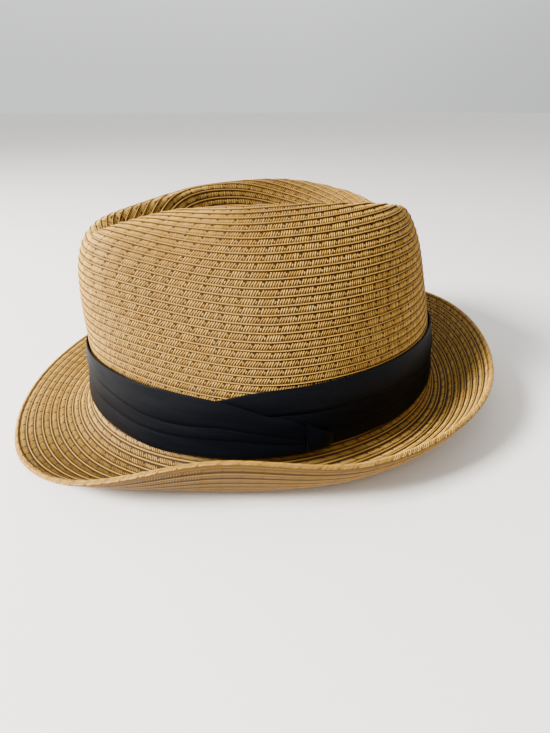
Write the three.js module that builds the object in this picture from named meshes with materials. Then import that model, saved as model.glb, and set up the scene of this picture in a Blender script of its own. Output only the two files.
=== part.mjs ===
// Straw trilby hat: sewn-braid crown with a centre dent and pinched front sides, a brim that is
// flat in front and curled up at the sides and back, and a pleated satin hatband whose ends cross
// and are tucked in on the wearer's left.
//
// Units are millimetres. -Y is the front of the hat, +X the wearer's left, +Z up. The origin is the
// middle of the hat's box at the level it rests on. Angles run round the crown in degrees: 0 is the
// front, 90 the wearer's left, 180 the back.

import * as THREE from 'three';
import { mergeVertices } from 'three/addons/utils/BufferGeometryUtils.js';

// ---------------------------------------------------------------------------------------------
// Driving dimensions
// ---------------------------------------------------------------------------------------------

const STRAW_WALL = 2.0;
const PIECE_GAP = 0.3;

// The oval where crown and brim meet, measured on the outside of the crown.
const HEAD_HALF_LENGTH = 102.0;
const HEAD_HALF_WIDTH = 88.8;
const BREAK_HEIGHT = 9.0;

// The ridge round the top of the crown: a blunt teardrop, narrower in front.
const RIDGE_HALF_LENGTH = 81.5;
const RIDGE_SHIFT_BACK = -5.0;

// The centre dent, a groove along the top whose floor is a level line.
const DENT_FLOOR_HEIGHT = 83.5;
const DENT_FLOOR_HALF_LENGTH = 34.0;

// The two finger pinches near the front.
const PINCH_ANGLE = 48.0;
const PINCH_FRONT_SPREAD = 34.0;
const PINCH_REAR_SPREAD = 29.0;
const PINCH_DEPTH = 7.5;
const PINCH_LOWEST_RISE = 0.25;
const PINCH_BACKWARD_SHARE = 0.3;

// The brim.
const BRIM_END_PULL = 14.0;
const EDGE_BEAD_THICKNESS = 0.8;
const EDGE_BEAD_CENTRE = 0.04;
const EDGE_BEAD_SPREAD = 0.06;
const BEARING_DEPTH = 0.45;

// The hatband, one strip whose start lies under its own other end.
const BAND_CLEARANCE = 2.2;
const BAND_HEIGHT = 28.9;
const BAND_THICKNESS = 1.5;
const BAND_START_ANGLE = 48.0;
const BAND_END_ANGLE = 442.0;
const OVERLAP_RAMP_START = 380.0;
const OVERLAP_RAMP_END = 404.0;
const OVERLAP_LIFT = 2.4;

// The folded end that holds the tongue.
const KNOT_START_ANGLE = 80.5;
const KNOT_END_ANGLE = 88.5;
const KNOT_LIFT_START = 5.2;
const KNOT_LIFT_END = 2.8;
const KNOT_RISE = 2.2;
const KNOT_START_HEIGHT = 14.0;
const KNOT_END_HEIGHT = 4.0;
const KNOT_THICKNESS = 1.6;
const KNOT_BULGE = 0.9;

// How finely each surface is divided.
const CROWN_STEPS_AROUND = 60;
const CROWN_WALL_STEPS = 11;
const CROWN_DENT_STEPS = 7;
const BRIM_STEPS_AROUND = 72;
const BRIM_STEPS_ACROSS = 8;
const BAND_STEPS_AROUND = 76;
const KNOT_STEPS = 4;

// How closely slopes and heights are found: steps in degrees and in shares, and halvings.
const SLOPE_STEP_ANGLE = 0.5;
const SLOPE_STEP_SHARE = 0.004;
const HEIGHT_HALVINGS = 24;
const WELD_DISTANCE = 1e-3;

// Half the ridge, from the front round to the back, and one row past each end to mirror it.
const RIDGE = [
  { angle: -30, halfWidth: -14.0, height: 101.5 },
  { angle: 0, halfWidth: 0.0, height: 96.0 },
  { angle: 30, halfWidth: 14.0, height: 101.5 },
  { angle: 60, halfWidth: 25.5, height: 107.2 },
  { angle: 90, halfWidth: 39.0, height: 109.2 },
  { angle: 120, halfWidth: 44.5, height: 107.7 },
  { angle: 150, halfWidth: 28.0, height: 102.0 },
  { angle: 180, halfWidth: 0.0, height: 95.5 },
  { angle: 210, halfWidth: -28.0, height: 102.0 },
];

// Crown wall from the break line up to the ridge: how far it has risen, and how far it has moved in
// towards the ridge at the sides, the front and the back. All are shares of the whole way.
const WALL = [
  { rise: 0.0, side: 0.0, front: 0.0, back: 0.0 },
  { rise: 0.3, side: 0.075, front: 0.2, back: 0.16 },
  { rise: 0.58, side: 0.22, front: 0.25, back: 0.4 },
  { rise: 0.8, side: 0.45, front: 0.37, back: 0.58 },
  { rise: 0.93, side: 0.7, front: 0.6, back: 0.76 },
  { rise: 0.985, side: 0.88, front: 0.83, back: 0.9 },
  { rise: 1.0, side: 1.0, front: 1.0, back: 1.0 },
];

// The dent from the ridge in to its floor, as shares of the way in and of the way down.
const DENT = [
  { inward: 0.0, drop: 0.0 },
  { inward: 0.1, drop: 0.05 },
  { inward: 0.25, drop: 0.26 },
  { inward: 0.5, drop: 0.66 },
  { inward: 0.75, drop: 0.92 },
  { inward: 1.0, drop: 1.0 },
];

// Brim sections round the hat. Each is a curve from the break line that first heads for the dip and
// ends at the edge, arriving at the given slope. Distances out are from the break line, heights are
// above the resting level.
const BRIM = [
  { angle: -150, dipOut: 7.5, dipHeight: -8.5, edgeSlope: 45, edgeOut: 31.0, edgeHeight: 27.0 },
  { angle: -120, dipOut: 8.5, dipHeight: -9.2, edgeSlope: 65, edgeOut: 31.0, edgeHeight: 24.0 },
  { angle: -90, dipOut: 6.0, dipHeight: -8.4, edgeSlope: 66, edgeOut: 31.5, edgeHeight: 22.5 },
  { angle: -60, dipOut: 6.5, dipHeight: -7.4, edgeSlope: 12, edgeOut: 37.0, edgeHeight: 12.0 },
  { angle: -30, dipOut: 5.0, dipHeight: -4.6, edgeSlope: -3, edgeOut: 38.5, edgeHeight: 4.5 },
  { angle: 0, dipOut: 5.0, dipHeight: -1.0, edgeSlope: -4, edgeOut: 40.5, edgeHeight: 2.1 },
  { angle: 30, dipOut: 10.0, dipHeight: -3.5, edgeSlope: 43, edgeOut: 40.0, edgeHeight: 14.0 },
  { angle: 60, dipOut: 8.5, dipHeight: -11.2, edgeSlope: 88, edgeOut: 26.0, edgeHeight: 30.0 },
  { angle: 90, dipOut: 5.0, dipHeight: -8.8, edgeSlope: 78, edgeOut: 29.0, edgeHeight: 23.0 },
  { angle: 120, dipOut: 9.0, dipHeight: -9.2, edgeSlope: 72, edgeOut: 32.0, edgeHeight: 24.5 },
  { angle: 150, dipOut: 7.5, dipHeight: -9.5, edgeSlope: 45, edgeOut: 31.0, edgeHeight: 27.0 },
  { angle: 180, dipOut: 7.5, dipHeight: -5.0, edgeSlope: 40, edgeOut: 32.0, edgeHeight: 30.0 },
];

// The hatband's outer face from its lower to its upper edge: three pleats that overlap like slates.
const PLEATS = [
  { up: 0.0, lift: -0.3 },
  { up: 0.08, lift: 0.3 },
  { up: 0.3, lift: 0.6 },
  { up: 0.36, lift: 0.0 },
  { up: 0.6, lift: 0.5 },
  { up: 0.66, lift: -0.1 },
  { up: 0.92, lift: 0.3 },
  { up: 1.0, lift: -0.4 },
];

// How high the strip reaches along its length, as a share of its height in front. The start slopes
// down under the overlap, the strip spreads a little round the back, and the other end narrows to
// a tongue.
const BAND_TOP = [
  { angle: 48, share: 0.74 },
  { angle: 60, share: 0.89 },
  { angle: 66, share: 0.98 },
  { angle: 72, share: 1.04 },
  { angle: 80, share: 1.07 },
  { angle: 95, share: 1.1 },
  { angle: 120, share: 1.11 },
  { angle: 180, share: 1.08 },
  { angle: 270, share: 1.05 },
  { angle: 340, share: 1.0 },
  { angle: 404, share: 1.0 },
  { angle: 410, share: 0.98 },
  { angle: 419, share: 0.925 },
  { angle: 424, share: 0.86 },
  { angle: 432, share: 0.68 },
  { angle: 437, share: 0.6 },
  { angle: 442, share: 0.42 },
];

// ---------------------------------------------------------------------------------------------
// Small helpers
// ---------------------------------------------------------------------------------------------

const radians = THREE.MathUtils.degToRad;
const clamp = THREE.MathUtils.clamp;
const lerp = THREE.MathUtils.lerp;
const UP = new THREE.Vector3(0, 0, 1);

// A smooth curve through a column of a table at an even or uneven spacing. Each span is a cubic
// whose end slopes are those of its neighbours' chord.
function smooth(xs, ys, x) {
  const last = xs.length - 1;
  let span = 0;
  while (span < last - 1 && x > xs[span + 1]) {
    span += 1;
  }
  const slope = (k) => {
    const before = Math.max(k - 1, 0);
    const after = Math.min(k + 1, last);
    return (ys[after] - ys[before]) / (xs[after] - xs[before]);
  };
  const width = xs[span + 1] - xs[span];
  const u = (x - xs[span]) / width;
  const u2 = u * u;
  const u3 = u2 * u;
  return (
    (2 * u3 - 3 * u2 + 1) * ys[span] +
    (u3 - 2 * u2 + u) * width * slope(span) +
    (3 * u2 - 2 * u3) * ys[span + 1] +
    (u3 - u2) * width * slope(span + 1)
  );
}

// A table column read along the rows, with t = 0 at the first row and 1 at the last.
function column(table, name, t) {
  const xs = table.map((row, k) => k / (table.length - 1));
  const ys = table.map((row) => row[name]);
  return smooth(xs, ys, t);
}

// A table column read by another column, which grows down the table.
function lookUp(table, by, name, x) {
  return smooth(table.map((row) => row[by]), table.map((row) => row[name]), x);
}

// An angle brought between -180 and 180.
function wrapped(angle) {
  return THREE.MathUtils.euclideanModulo(angle + 180, 360) - 180;
}

// The brim's table with a turn before it and after it, so that it can be read at any angle.
const BRIM_ROUND = [-360, 0, 360].flatMap((turn) =>
  BRIM.map((row) => ({ ...row, angle: row.angle + turn })),
);

function brimColumn(name, angle) {
  return lookUp(BRIM_ROUND, 'angle', name, wrapped(angle));
}

// A smooth hump of height 1 at its centre and 0 beyond its spread.
function hump(x, centre, spread) {
  const u = clamp(Math.abs(x - centre) / spread, 0, 1);
  return (1 - u * u) ** 2;
}

// The level direction straight out from the head oval.
function outward(angle) {
  const a = radians(angle);
  return new THREE.Vector3(
    Math.sin(a) / HEAD_HALF_WIDTH,
    -Math.cos(a) / HEAD_HALF_LENGTH,
    0,
  ).normalize();
}

function headOval(angle) {
  const a = radians(angle);
  return new THREE.Vector3(
    HEAD_HALF_WIDTH * Math.sin(a),
    -HEAD_HALF_LENGTH * Math.cos(a),
    BREAK_HEIGHT,
  );
}

// ---------------------------------------------------------------------------------------------
// Surfaces
// ---------------------------------------------------------------------------------------------

function pinch(angle) {
  const half = Math.abs(wrapped(angle));
  const spread = half > PINCH_ANGLE ? PINCH_REAR_SPREAD : PINCH_FRONT_SPREAD;
  const depth = PINCH_DEPTH * hump(half, PINCH_ANGLE, spread);
  const push = outward(angle).multiplyScalar(-depth);
  push.y *= PINCH_BACKWARD_SHARE;
  return push;
}

function ridge(angle) {
  const half = wrapped(angle);
  const side = Math.sign(half);
  return new THREE.Vector3(
    side * lookUp(RIDGE, 'angle', 'halfWidth', Math.abs(half)),
    RIDGE_SHIFT_BACK - RIDGE_HALF_LENGTH * Math.cos(radians(angle)),
    lookUp(RIDGE, 'angle', 'height', Math.abs(half)),
  );
}

// Crown wall: t = 0 at the break line, 1 on the ridge.
function crownWall(angle, t) {
  const a = radians(angle);
  const sideShare = Math.sin(a) ** 2;
  const end = column(WALL, Math.cos(a) > 0 ? 'front' : 'back', t);
  const inset = lerp(end, column(WALL, 'side', t), sideShare);
  const rise = column(WALL, 'rise', t);
  const from = headOval(angle);
  const to = ridge(angle);
  const point = new THREE.Vector3(
    lerp(from.x, to.x, inset),
    lerp(from.y, to.y, inset),
    lerp(from.z, to.z, rise),
  );
  const pinchShare = clamp((rise - PINCH_LOWEST_RISE) / (1 - PINCH_LOWEST_RISE), 0, 1);
  return point.addScaledVector(pinch(angle), pinchShare);
}

// Inside of the dent: t = 0 on the ridge, 1 on the line along its floor.
function crownDent(angle, t) {
  const a = radians(angle);
  const from = crownWall(angle, 1);
  const floor = new THREE.Vector3(
    0,
    RIDGE_SHIFT_BACK - DENT_FLOOR_HALF_LENGTH * Math.cos(a),
    DENT_FLOOR_HEIGHT,
  );
  const inward = column(DENT, 'inward', t);
  return new THREE.Vector3(
    lerp(from.x, floor.x, inward),
    lerp(from.y, floor.y, inward),
    lerp(from.z, floor.z, column(DENT, 'drop', t)),
  );
}

// The whole crown: t runs from 0 at the break line to 1 on the ridge and 2 on the dent's floor.
function crownSurface(angle, t) {
  return t <= 1 ? crownWall(angle, t) : crownDent(angle, t - 1);
}

// Brim: s = 0 at the edge, 1 at the break line.
function brimSurface(angle, s) {
  const slope = radians(brimColumn('edgeSlope', angle));
  const edge = new THREE.Vector2(brimColumn('edgeOut', angle), brimColumn('edgeHeight', angle));
  const pull = new THREE.Vector2(Math.cos(slope), Math.sin(slope)).multiplyScalar(BRIM_END_PULL);
  const curve = new THREE.CubicBezierCurve(
    new THREE.Vector2(PIECE_GAP, BREAK_HEIGHT),
    new THREE.Vector2(brimColumn('dipOut', angle), brimColumn('dipHeight', angle)),
    edge.clone().sub(pull),
    edge,
  );
  const section = curve.getPoint(1 - s);
  const point = headOval(angle).addScaledVector(outward(angle), section.x);
  point.z = section.y;
  return point;
}

// Where the crown wall reaches a given height.
function wallShareAt(angle, height) {
  let low = 0;
  let high = 1;
  for (let k = 0; k < HEIGHT_HALVINGS; k += 1) {
    const middle = (low + high) / 2;
    if (crownWall(angle, middle).z < height) {
      low = middle;
    } else {
      high = middle;
    }
  }
  return low;
}

// A point beside the crown wall: so far above the break line, and so far off the wall.
function besideWall(angle, above, off) {
  const t = wallShareAt(angle, BREAK_HEIGHT + above);
  return crownWall(angle, t).addScaledVector(outward(angle), off);
}

// ---------------------------------------------------------------------------------------------
// Solids from pairs of surfaces
// ---------------------------------------------------------------------------------------------

// Points of a surface on a grid: one column of points for each angle.
function grid(surface, angles, shares) {
  return angles.map((angle) => shares.map((share) => surface(angle, share)));
}

// The direction out of a surface at a point, from its neighbours on both sides.
function surfaceNormal(surface, angle, share, lowest, highest) {
  const ahead = surface(angle + SLOPE_STEP_ANGLE, share);
  const around = ahead.sub(surface(angle - SLOPE_STEP_ANGLE, share));
  const above = surface(angle, Math.min(share + SLOPE_STEP_SHARE, highest));
  const along = above.sub(surface(angle, Math.max(share - SLOPE_STEP_SHARE, lowest)));
  return around.cross(along).normalize();
}

// A closed skin between two grids of the same size. The outer grid's columns go round the hat
// counter-clockwise seen from above, and its rows go from the brim's edge towards the crown's tip.
function shell(outer, inner, { ring, seamTop }) {
  const columns = outer.length;
  const rows = outer[0].length;
  const positions = [...outer.flat(), ...inner.flat()].flatMap((p) => [p.x, p.y, p.z]);
  const out = (i, j) => (i % columns) * rows + j;
  const into = (i, j) => columns * rows + out(i, j);
  const index = [];
  const quad = (a, b, c, d) => index.push(a, b, c, a, c, d);
  const spans = ring ? columns : columns - 1;
  for (let i = 0; i < spans; i += 1) {
    for (let j = 0; j < rows - 1; j += 1) {
      quad(out(i, j), out(i + 1, j), out(i + 1, j + 1), out(i, j + 1));
      quad(into(i, j), into(i, j + 1), into(i + 1, j + 1), into(i + 1, j));
    }
    quad(into(i, 0), into(i + 1, 0), out(i + 1, 0), out(i, 0));
    if (!seamTop) {
      quad(out(i, rows - 1), out(i + 1, rows - 1), into(i + 1, rows - 1), into(i, rows - 1));
    }
  }
  if (!ring) {
    for (let j = 0; j < rows - 1; j += 1) {
      quad(into(0, j), out(0, j), out(0, j + 1), into(0, j + 1));
      quad(out(spans, j), into(spans, j), into(spans, j + 1), out(spans, j + 1));
    }
  }
  const geometry = new THREE.BufferGeometry();
  geometry.setAttribute('position', new THREE.Float32BufferAttribute(positions, 3));
  geometry.setIndex(index);
  return withoutSlivers(mergeVertices(geometry, WELD_DISTANCE));
}

// Drops triangles that have lost a side where vertices met.
function withoutSlivers(geometry) {
  const kept = [];
  const index = geometry.index.array;
  for (let k = 0; k < index.length; k += 3) {
    const [a, b, c] = [index[k], index[k + 1], index[k + 2]];
    if (a !== b && b !== c && c !== a) {
      kept.push(a, b, c);
    }
  }
  geometry.setIndex(kept);
  geometry.computeVertexNormals();
  return geometry;
}

function evenly(from, to, steps) {
  return Array.from({ length: steps + 1 }, (_, k) => lerp(from, to, k / steps));
}

function allRound(steps) {
  return evenly(0, 360, steps).slice(0, steps);
}

// ---------------------------------------------------------------------------------------------
// Pieces
// ---------------------------------------------------------------------------------------------

function crown() {
  const shares = [...evenly(0, 1, CROWN_WALL_STEPS), ...evenly(1, 2, CROWN_DENT_STEPS).slice(1)];
  const angles = allRound(CROWN_STEPS_AROUND);
  const outer = grid(crownSurface, angles, shares);
  const inner = grid(
    (angle, share) => {
      const normal = share === 2 ? UP.clone() : surfaceNormal(crownSurface, angle, share, 0, 2);
      if (share === 0) {
        normal.copy(outward(angle));
      }
      return crownSurface(angle, share).addScaledVector(normal, -STRAW_WALL);
    },
    angles,
    shares,
  );
  for (const columnPoints of [...outer, ...inner]) {
    columnPoints[0].z -= STRAW_WALL;
  }
  return shell(outer, inner, { ring: true, seamTop: true });
}

function brim() {
  const angles = allRound(BRIM_STEPS_AROUND);
  const shares = [0, EDGE_BEAD_CENTRE, ...evenly(2 * EDGE_BEAD_CENTRE, 1, BRIM_STEPS_ACROSS - 2)];
  const normalAt = (angle, share) =>
    share === 1 ? UP.clone() : surfaceNormal(brimSurface, angle, share, 0, 1);
  const top = grid(
    (angle, share) => {
      const bead = EDGE_BEAD_THICKNESS * hump(share, EDGE_BEAD_CENTRE, EDGE_BEAD_SPREAD);
      return brimSurface(angle, share).addScaledVector(normalAt(angle, share), bead);
    },
    angles,
    shares,
  );
  const under = grid(
    (angle, share) =>
      brimSurface(angle, share).addScaledVector(normalAt(angle, share), -STRAW_WALL),
    angles,
    shares,
  );
  const lowest = Math.min(...under.flat().map((point) => point.z));
  for (const point of under.flat()) {
    if (point.z < lowest + BEARING_DEPTH) {
      point.z = lowest;
    }
  }
  return shell(top, under, { ring: true, seamTop: false });
}

// How far the strip stands off the crown: a gap, and over its own start a whole layer more.
function bandStandOff(angle) {
  const along = (angle - OVERLAP_RAMP_START) / (OVERLAP_RAMP_END - OVERLAP_RAMP_START);
  return PIECE_GAP + OVERLAP_LIFT * THREE.MathUtils.smoothstep(along, 0, 1);
}

function bandSurface(angle, up, lift) {
  const height = BAND_HEIGHT * lookUp(BAND_TOP, 'angle', 'share', angle);
  return besideWall(angle, BAND_CLEARANCE + up * height, bandStandOff(angle) + lift);
}

function hatband() {
  const angles = evenly(BAND_START_ANGLE, BAND_END_ANGLE, BAND_STEPS_AROUND);
  const pleats = PLEATS.map((row, k) => k);
  const outer = grid(
    (angle, k) => bandSurface(angle, PLEATS[k].up, BAND_THICKNESS + PLEATS[k].lift),
    angles,
    pleats,
  );
  const inner = grid((angle, k) => bandSurface(angle, PLEATS[k].up, 0), angles, pleats);
  return shell(outer, inner, { ring: false, seamTop: false });
}

// The other end of the strip, folded forward over the tongue and tucked in below.
function knotSurface(angle, up, lift) {
  const along = (angle - KNOT_START_ANGLE) / (KNOT_END_ANGLE - KNOT_START_ANGLE);
  const height = lerp(KNOT_START_HEIGHT, KNOT_END_HEIGHT, along);
  const standOff = lerp(KNOT_LIFT_START, KNOT_LIFT_END, THREE.MathUtils.smoothstep(along, 0.5, 1));
  const above = BAND_CLEARANCE + KNOT_RISE + up * height;
  return besideWall(angle, above, standOff + lift);
}

function knot() {
  const angles = evenly(KNOT_START_ANGLE, KNOT_END_ANGLE, KNOT_STEPS);
  const shares = evenly(0, 1, KNOT_STEPS);
  const bulge = (share) => KNOT_THICKNESS + KNOT_BULGE * Math.sin(Math.PI * share);
  const outer = grid((angle, up) => knotSurface(angle, up, bulge(up)), angles, shares);
  const inner = grid((angle, up) => knotSurface(angle, up, 0), angles, shares);
  return shell(outer, inner, { ring: false, seamTop: false });
}

// ---------------------------------------------------------------------------------------------
// The hat
// ---------------------------------------------------------------------------------------------

const STRAW = { color: 0xc19a5f, roughness: 0.8, metalness: 0 };
const BLACK_SATIN = { color: 0x16191d, roughness: 0.45, metalness: 0 };

const PIECES = [
  { name: 'crown', geometry: crown(), finish: STRAW },
  { name: 'brim', geometry: brim(), finish: STRAW },
  { name: 'hatband', geometry: hatband(), finish: BLACK_SATIN },
  { name: 'hatband_knot', geometry: knot(), finish: BLACK_SATIN },
];

const hat = new THREE.Group();
for (const { name, geometry, finish } of PIECES) {
  const mesh = new THREE.Mesh(geometry, new THREE.MeshStandardMaterial(finish));
  mesh.name = name;
  hat.add(mesh);
}

// The origin goes to the middle of the box, at the level the hat rests on.
const box = new THREE.Box3().setFromObject(hat);
const middle = box.getCenter(new THREE.Vector3());
hat.position.set(-middle.x, -middle.y, -box.min.z);

export default hat;
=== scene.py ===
import math
from types import SimpleNamespace

import bmesh
import bpy
import numpy as np
from bpy.props import FloatProperty, IntProperty, PointerProperty, StringProperty
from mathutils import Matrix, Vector


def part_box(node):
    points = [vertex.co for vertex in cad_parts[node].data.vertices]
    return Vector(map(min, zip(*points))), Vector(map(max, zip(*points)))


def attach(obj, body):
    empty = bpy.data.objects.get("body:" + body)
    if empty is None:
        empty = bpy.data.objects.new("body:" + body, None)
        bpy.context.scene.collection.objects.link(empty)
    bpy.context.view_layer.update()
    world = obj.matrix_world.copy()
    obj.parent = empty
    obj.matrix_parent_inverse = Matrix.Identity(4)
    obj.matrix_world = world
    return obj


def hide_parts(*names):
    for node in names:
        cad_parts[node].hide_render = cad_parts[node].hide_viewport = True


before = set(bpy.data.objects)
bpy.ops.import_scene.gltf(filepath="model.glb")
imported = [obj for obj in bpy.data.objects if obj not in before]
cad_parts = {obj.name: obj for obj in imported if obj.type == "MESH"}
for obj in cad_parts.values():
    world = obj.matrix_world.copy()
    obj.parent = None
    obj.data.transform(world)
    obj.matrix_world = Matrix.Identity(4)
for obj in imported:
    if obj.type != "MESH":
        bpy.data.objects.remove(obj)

bl_info = {
    "name": "Straw trilby hat",
    "version": (1, 0, 0),
    "blender": (4, 5, 0),
    "location": "3D View > Sidebar > Hat",
    "description": "Builds a sewn-braid straw trilby with a pleated satin hatband",
    "category": "Object",
}

# --------------------------------------------------------------------------------------------------
# The hat's form, in millimetres. Angles run round the crown in degrees: 0 is the front (-Y), 90 the
# wearer's left (+X), 180 the back. Heights are above the level the hat rests on, before the shift
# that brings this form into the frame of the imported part.
# --------------------------------------------------------------------------------------------------

MM = 0.001
STRAW_WALL = 2.0
HEAD_HALF_LENGTH = 102.0
HEAD_HALF_WIDTH = 88.8
BREAK_HEIGHT = 9.0
RIDGE_HALF_LENGTH = 81.5
RIDGE_SHIFT_BACK = -5.0
DENT_FLOOR_HEIGHT = 83.5
DENT_FLOOR_HALF_LENGTH = 34.0
PINCH_ANGLE = 48.0
PINCH_FRONT_SPREAD = 34.0
PINCH_REAR_SPREAD = 29.0
PINCH_DEPTH = 7.5
PINCH_LOWEST_RISE = 0.25
PINCH_BACKWARD_SHARE = 0.3
BRIM_END_PULL = 14.0
PIECE_GAP = 0.3

# Half the ridge round the crown's top, and one row past each end to mirror it.
RIDGE = {
    "angle": (-30, 0, 30, 60, 90, 120, 150, 180, 210),
    "half_width": (-14.0, 0.0, 14.0, 25.5, 39.0, 44.5, 28.0, 0.0, -28.0),
    "height": (101.5, 96.0, 101.5, 107.2, 109.2, 107.7, 102.0, 95.5, 102.0),
}

# Crown wall from the break line to the ridge: share of the rise, and share of the way in.
WALL = {
    "rise": (0.0, 0.3, 0.58, 0.8, 0.93, 0.985, 1.0),
    "side": (0.0, 0.075, 0.22, 0.45, 0.7, 0.88, 1.0),
    "front": (0.0, 0.2, 0.25, 0.37, 0.6, 0.83, 1.0),
    "back": (0.0, 0.16, 0.4, 0.58, 0.76, 0.9, 1.0),
}

# The dent from the ridge to its floor: share of the way in, and of the way down.
DENT = {
    "inward": (0.0, 0.1, 0.25, 0.5, 0.75, 1.0),
    "drop": (0.0, 0.05, 0.26, 0.66, 0.92, 1.0),
}

# Brim sections round the hat: where the curve heads first, and where and how it ends.
BRIM = {
    "angle": (-150, -120, -90, -60, -30, 0, 30, 60, 90, 120, 150, 180),
    "dip_out": (7.5, 8.5, 6.0, 6.5, 5.0, 5.0, 10.0, 8.5, 5.0, 9.0, 7.5, 7.5),
    "dip_height": (-8.5, -9.2, -8.4, -7.4, -4.6, -1.0, -3.5, -11.2, -8.8, -9.2, -9.5, -5.0),
    "edge_slope": (45, 65, 66, 12, -3, -4, 43, 88, 78, 72, 45, 40),
    "edge_out": (31.0, 31.0, 31.5, 37.0, 38.5, 40.5, 40.0, 26.0, 29.0, 32.0, 31.0, 32.0),
    "edge_height": (27.0, 24.0, 22.5, 12.0, 4.5, 2.1, 14.0, 30.0, 23.0, 24.5, 27.0, 30.0),
}

# The hatband: a strip that starts under its own other end and goes once round and on to a tongue.
BAND_CLEARANCE = 2.2
BAND_HEIGHT = 28.9
BAND_START_ANGLE = 48.0
BAND_END_ANGLE = 442.0
BAND_STAND_OFF = 0.5
OVERLAP_RAMP = (380.0, 404.0)
OVERLAP_LIFT = 2.4
BAND_TOP = {
    "angle": (48, 60, 66, 72, 80, 95, 120, 180, 270, 340, 404, 410, 419, 424, 432, 437, 442),
    "share": (
        *(0.74, 0.89, 0.98, 1.04, 1.07, 1.1, 1.11, 1.08, 1.05, 1.0),
        *(1.0, 0.98, 0.925, 0.86, 0.68, 0.6, 0.42),
    ),
}

# The two creases that divide the band into three pleats: heights above its lower edge.
CREASES = {
    "angle": (48, 70, 100, 140, 200, 290, 360, 385, 408, 420, 430, 442),
    "low": (8.0, 8.5, 9.0, 10.5, 9.0, 10.5, 10.0, 9.0, 8.4, 8.8, 7.0, 4.0),
    "high": (19.0, 18.6, 18.0, 17.0, 19.5, 18.0, 19.0, 17.0, 14.2, 14.6, 11.5, 6.0),
}
CREASE_WIDTH = 0.9
CREASE_SOFT_SIDE = 2.5
PLEAT_SLOPE = 0.5

# Waves that unsettle the satin: size as a share of a pleat, waves to a turn, and slant per mm up.
WRINKLES = {"size": (0.15, 0.09, 0.06), "waves": (3, 7, 19), "slant": (0.35, -0.5, 0.9)}

# The knot: the band's other end, folded over the tongue. Each row is one end of it.
KNOT = {"angle": (80.5, 88.5), "height": (14.0, 4.0), "stand_off": (5.2, 2.8)}
KNOT_RISE = 2.2
KNOT_SWELL = 1.2
KNOT_CLOTH = (15.0, 11.0)

# The braid. One row across, from under the row before it (0) to its own edge (1): how high the
# straw stands, as a share of the edge cord's height. The edge cord is the last fifth.
ROW_PROFILE = {
    "across": (0.0, 0.12, 0.46, 0.77, 0.82, 0.87, 0.92, 0.965),
    "height": (0.0, 0.02, 0.3, 0.4, 0.82, 1.0, 0.92, 0.45),
}
STRAND_ACROSS = 0.47
STRAND_GROUND = 0.3
STRAND_LIFT = 0.14
STRAND_CROWN = 0.55
STRAND_SINK = 0.2
STRAND_STRAY = 7.0
ROW_STAGGER = 0.37
HOLE_EVERY = 7
HOLE_STAGGER = 3
LEAST_STRANDS = 6
WAVINESS = 0.1
WELD_DISTANCE = 0.02

# Rows that the band hides are plain, and the rows climb towards the crown's front.
CROWN_HIDDEN_ROWS = 6
FRONT_ROW_LAG = 7.0
FRONT_REACH = (0.2, 1.0)
DENT_SEAM_HEIGHT = 0.4
LINING_GAP = 0.3
LINING_RELIEF = 0.4

# The brim's rolled edge, and the shares of the cord height that its two faces take.
EDGE_BEAD_RADIUS = 1.15
EDGE_BEAD_STEPS = 5
EDGE_BEAD_TURN = 115.0
EDGE_ROW_HEIGHT = 0.9
EDGE_RELIEF = 0.55
EDGE_MARKS = (0.1, 0.9)
BRIM_TOP_SHARE = 0.55
BRIM_UNDER_SHARE = 0.4
BRIM_TOP_LIFT = 0.6
BRIM_UNDER_LIFT = 0.4
UNDERSIDE_LEAST = 0.38
UNDERSIDE_SHARE = 0.45
LEAST_HEIGHT = 0.15

# The two courses of strands round the edge: where they sit on it, and how they lean.
EDGE_COURSES = {
    "name": ("brim_edge_strands_upper", "brim_edge_strands_lower"),
    "turn": (62.0, -5.0),
    "lean": (-34.0, 34.0),
    "seed": (41, 43),
}
EDGE_STRAND_SINK = 0.05
EDGE_STRAND_LIFT = 0.08

# How finely things are sampled, and the angle on the wearer's right where every ring starts.
SEAM_ANGLE = -112.0
WALL_STEPS = 90
DENT_STEPS = 60
BRIM_STEPS = 120
BAND_STEPS = (640, 72)
KNOT_STEPS = (24, 24)
STRAND_STEPS = (2, 2)
HEIGHT_HALVINGS = 24

# Noise features to the metre: blotches 18 mm across, fibres about a millimetre, drawn coarser than
# real ones so that they show, and the slow waver of a hand-fed braid.
BLOTCH_SCALE = 55.0
FIBRE_SCALE = 900.0
STRAND_FIBRE_SCALE = 1100.0
WAVER_SCALE = 140.0
FLOOR_CLOUD_SCALE = 9.0

# Satin's sheen streaks, painted in its colour and also its bump: to the millimetre along the band
# and up it.
STREAKS = (0.05, 1.6, 1.0)

# The twist of an edge cord: turns that a stripe leans across one row.
TWIST_LEAN = 3.2

# The stage, in metres. The floor lies a hair low, so that no braid pokes through it.
FLOOR_HALF = 25.0
FLOOR_HEIGHT = -0.0003
LIGHT_AIM = (0.0, 0.0, 0.05)
LIGHTS = {
    "name": ("window_light", "room_fill"),
    "place": ((0.02, -1.2, 0.85), (1.2, -0.1, 0.9)),
    "size": (0.4, 1.2),
    "power": (98.0, 6.5),
    "colour": ((1.0, 0.98, 0.95), (1.0, 0.8, 0.56)),
}
CAMERA_AIM = (-3.94, 7.85, 0.0)
SENSOR_WIDTH = 36.0
SKY_COLOUR = (0.97, 0.98, 1.0, 1.0)
SKY_AXIS = (0.9, 0.44, 0.0)
SKY_SPAN = (-0.6, 0.9)
HAZE = {"From Min": 0.0, "From Max": 0.5, "To Min": 0.66, "To Max": 1.12}


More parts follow.
